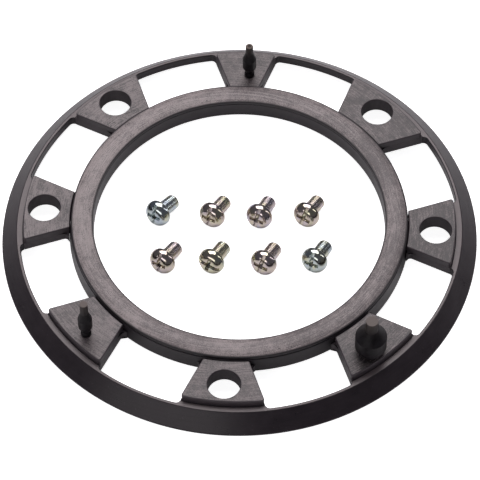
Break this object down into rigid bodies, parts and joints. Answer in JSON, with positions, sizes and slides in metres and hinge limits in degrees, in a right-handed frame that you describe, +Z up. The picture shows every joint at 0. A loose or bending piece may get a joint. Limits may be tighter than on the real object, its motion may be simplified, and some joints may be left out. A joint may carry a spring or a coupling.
{
  "type": "toilet flange",
  "caption": "Dark moulded ring flange with a sloped skirt, crowned seal, windowed bridges with bolt holes and locating pegs, and loose zinc pan-head screws.",
  "frame": {"origin": "centre of the ring on the plane of the skirt's foot, where the flange rests", "axes": "+Z up out of the floor along the ring's axis; +X through the middle of one bolted bridge; -Y towards the single bolted bridge between the two front pegs"},
  "size_m": [0.178, 0.178, 0.0283],
  "materials": {
    "skirt": "satin",
    "hub": "satin",
    "seal": "matte, lightly scuffed",
    "bridge": "matte, finely brushed",
    "peg": "satin",
    "zinc": "bright zinc plate with a faint iridescent tint"
  },
  "bodies": {
    "flange": {"skirt_rim": "skirt", "hub_ring": "hub", "seal_ring": "seal", "bolt_bridge_right": "bridge", "bolt_bridge_back_right": "bridge", "peg_bridge_back": "bridge", "bolt_bridge_back_left": "bridge", "bolt_bridge_left": "bridge", "peg_bridge_front_left": "bridge", "bolt_bridge_front": "bridge", "peg_bridge_front_right": "bridge", "peg_back": "peg", "peg_front_left": "peg", "peg_front_right": "peg"},
    "loose_screw_1": {"screw_1": "zinc"},
    "loose_screw_2": {"screw_2": "zinc"},
    "loose_screw_3": {"screw_3": "zinc"},
    "loose_screw_4": {"screw_4": "zinc"},
    "loose_screw_5": {"screw_5": "zinc"},
    "loose_screw_6": {"screw_6": "zinc"},
    "loose_screw_7": {"screw_7": "zinc"},
    "loose_screw_8": {"screw_8": "zinc"}
  },
  "joints": [
    {"name": "screw_1_lift", "type": "slide", "parent": "flange", "child": "loose_screw_1", "axis": [0, 0, 1], "range_m": [0, 0.04]},
    {"name": "screw_2_lift", "type": "slide", "parent": "flange", "child": "loose_screw_2", "axis": [0, 0, 1], "range_m": [0, 0.04]},
    {"name": "screw_3_lift", "type": "slide", "parent": "flange", "child": "loose_screw_3", "axis": [0, 0, 1], "range_m": [0, 0.04]},
    {"name": "screw_4_lift", "type": "slide", "parent": "flange", "child": "loose_screw_4", "axis": [0, 0, 1], "range_m": [0, 0.04]},
    {"name": "screw_5_lift", "type": "slide", "parent": "flange", "child": "loose_screw_5", "axis": [0, 0, 1], "range_m": [0, 0.04]},
    {"name": "screw_6_lift", "type": "slide", "parent": "flange", "child": "loose_screw_6", "axis": [0, 0, 1], "range_m": [0, 0.04]},
    {"name": "screw_7_lift", "type": "slide", "parent": "flange", "child": "loose_screw_7", "axis": [0, 0, 1], "range_m": [0, 0.04]},
    {"name": "screw_8_lift", "type": "slide", "parent": "flange", "child": "loose_screw_8", "axis": [0, 0, 1], "range_m": [0, 0.04]}
  ]
}
